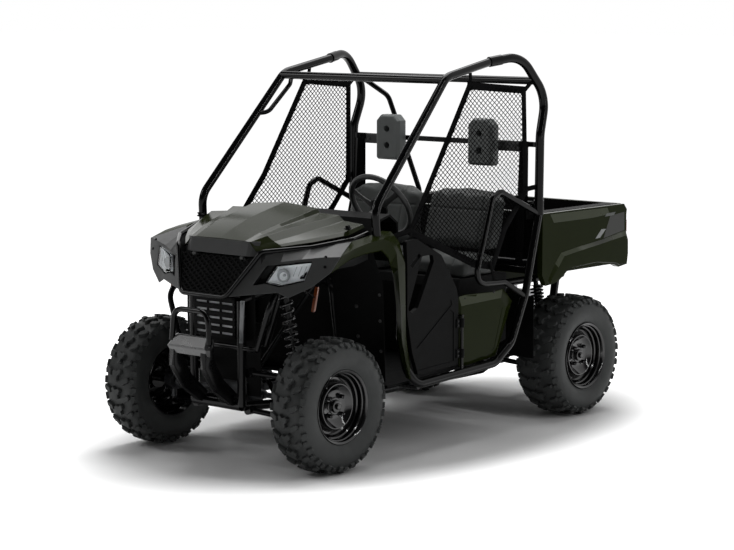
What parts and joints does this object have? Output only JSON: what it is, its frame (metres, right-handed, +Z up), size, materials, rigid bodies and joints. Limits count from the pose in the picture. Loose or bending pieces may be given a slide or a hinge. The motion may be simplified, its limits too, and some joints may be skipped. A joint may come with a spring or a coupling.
{
  "type": "side by side utility vehicle",
  "caption": "Side by side utility vehicle with a pipe cage, seats, half doors with nets, front hood, tilting cargo bed, tailgate, steered knobby wheels.",
  "frame": {"origin": "on the ground, at the centre of the bounding box", "axes": "the front faces -Y, the driver's side is +X and Z is up"},
  "size_m": [1.27, 2.601, 1.8331],
  "materials": {
    "frame_black": "satin black",
    "tube_black": "gloss black",
    "soft_black": "soft grained",
    "seat_vinyl": "vinyl",
    "black_plastic": "grained",
    "grey_plastic": "satin dark grey",
    "net_black": "webbing",
    "green_panel": "olive green, satin gloss",
    "lamp_clear": "clear",
    "lamp_red": "red lens",
    "spring_black": "black",
    "cast_metal": "cast",
    "steel": "dull",
    "tyre": "rubber",
    "rim_black": "gloss black"
  },
  "bodies": {
    "chassis": {"cage_front": "tube_black", "chassis_frame": "frame_black", "dash": "black_plastic", "drivetrain": "cast_metal", "fender_liners": "black_plastic", "floor_pan": "black_plastic", "front_fenders": "green_panel", "front_guard": "frame_black", "headlamps": "lamp_clear", "headrests": "soft_black", "hip_bars": "tube_black", "muffler": "steel", "nose_fascia": "grey_plastic", "radiator": "black_plastic", "rear_hoop": "tube_black", "seat_backs": "seat_vinyl", "seat_base": "black_plastic", "seat_belts": "net_black", "seat_cushions": "seat_vinyl", "shocks": "spring_black", "side_nets": "net_black", "side_panels": "green_panel", "side_rail_left": "tube_black", "side_rail_right": "tube_black", "steering_column": "frame_black", "suspension_arms": "frame_black"},
    "knuckle_left": {"knuckle_left": "cast_metal"},
    "knuckle_right": {"knuckle_right": "cast_metal"},
    "steering_rack": {"steering_rack": "steel"},
    "steering_wheel": {"steering_wheel": "soft_black"},
    "door_left": {"door_left": "black_plastic"},
    "door_right": {"door_right": "black_plastic"},
    "bed": {"bed_box": "green_panel", "tail_lamps": "lamp_red"},
    "tailgate": {"tailgate": "green_panel"},
    "hood": {"hood": "green_panel"},
    "wheel_front_left": {"tyre_front_left": "tyre", "rim_front_left": "rim_black"},
    "wheel_front_right": {"tyre_front_right": "tyre", "rim_front_right": "rim_black"},
    "wheel_rear_left": {"tyre_rear_left": "tyre", "rim_rear_left": "rim_black"},
    "wheel_rear_right": {"tyre_rear_right": "tyre", "rim_rear_right": "rim_black"}
  },
  "joints": [
    {"name": "steer_left", "type": "hinge", "parent": "chassis", "child": "knuckle_left", "pos_m": [0.452, -0.94165, 0.305], "axis": [0, 0, 1], "range_deg": [-30, 30]},
    {"name": "steer_right", "type": "hinge", "parent": "chassis", "child": "knuckle_right", "pos_m": [-0.452, -0.94165, 0.305], "axis": [0, 0, 1], "range_deg": [-30, 30]},
    {"name": "rack_slide", "type": "slide", "parent": "chassis", "child": "steering_rack", "axis": [1, 0, 0], "range_m": [-0.045, 0.045]},
    {"name": "wheel_turn", "type": "hinge", "parent": "chassis", "child": "steering_wheel", "pos_m": [0.297, -0.3108, 1.134], "axis": [0, 0.8572, 0.515], "range_deg": [-300, 300]},
    {"name": "spin_front_left", "type": "hinge", "parent": "knuckle_left", "child": "wheel_front_left", "pos_m": [0.535, -0.94165, 0.305], "axis": [1, 0, 0], "continuous": true},
    {"name": "spin_front_right", "type": "hinge", "parent": "knuckle_right", "child": "wheel_front_right", "pos_m": [-0.535, -0.94165, 0.305], "axis": [1, 0, 0], "continuous": true},
    {"name": "spin_rear_left", "type": "hinge", "parent": "chassis", "child": "wheel_rear_left", "pos_m": [0.509, 0.90835, 0.305], "axis": [1, 0, 0], "continuous": true},
    {"name": "spin_rear_right", "type": "hinge", "parent": "chassis", "child": "wheel_rear_right", "pos_m": [-0.509, 0.90835, 0.305], "axis": [1, 0, 0], "continuous": true},
    {"name": "door_left_swing", "type": "hinge", "parent": "chassis", "child": "door_left", "pos_m": [0.597, -0.074, 0.5], "axis": [0, 0, 1], "range_deg": [0, 75]},
    {"name": "door_right_swing", "type": "hinge", "parent": "chassis", "child": "door_right", "pos_m": [-0.597, -0.074, 0.5], "axis": [0, 0, -1], "range_deg": [0, 75]},
    {"name": "bed_tilt", "type": "hinge", "parent": "chassis", "child": "bed", "pos_m": [0, 1.1322, 0.7164], "axis": [-1, 0, 0], "range_deg": [0, 45]},
    {"name": "tailgate_drop", "type": "hinge", "parent": "bed", "child": "tailgate", "pos_m": [0, 1.2642, 0.7566], "axis": [-1, 0, 0], "range_deg": [0, 90]},
    {"name": "hood_lift", "type": "hinge", "parent": "chassis", "child": "hood", "pos_m": [0, -1.09058, 0.9459], "axis": [1, 0, 0], "range_deg": [0, 55]}
  ],
  "couplings": [
    {"joint": "steer_right", "follows": "steer_left", "ratio": 1},
    {"joint": "rack_slide", "follows": "steer_left", "m_per_rad": -0.083},
    {"joint": "wheel_turn", "follows": "steer_left", "ratio": 10}
  ]
}
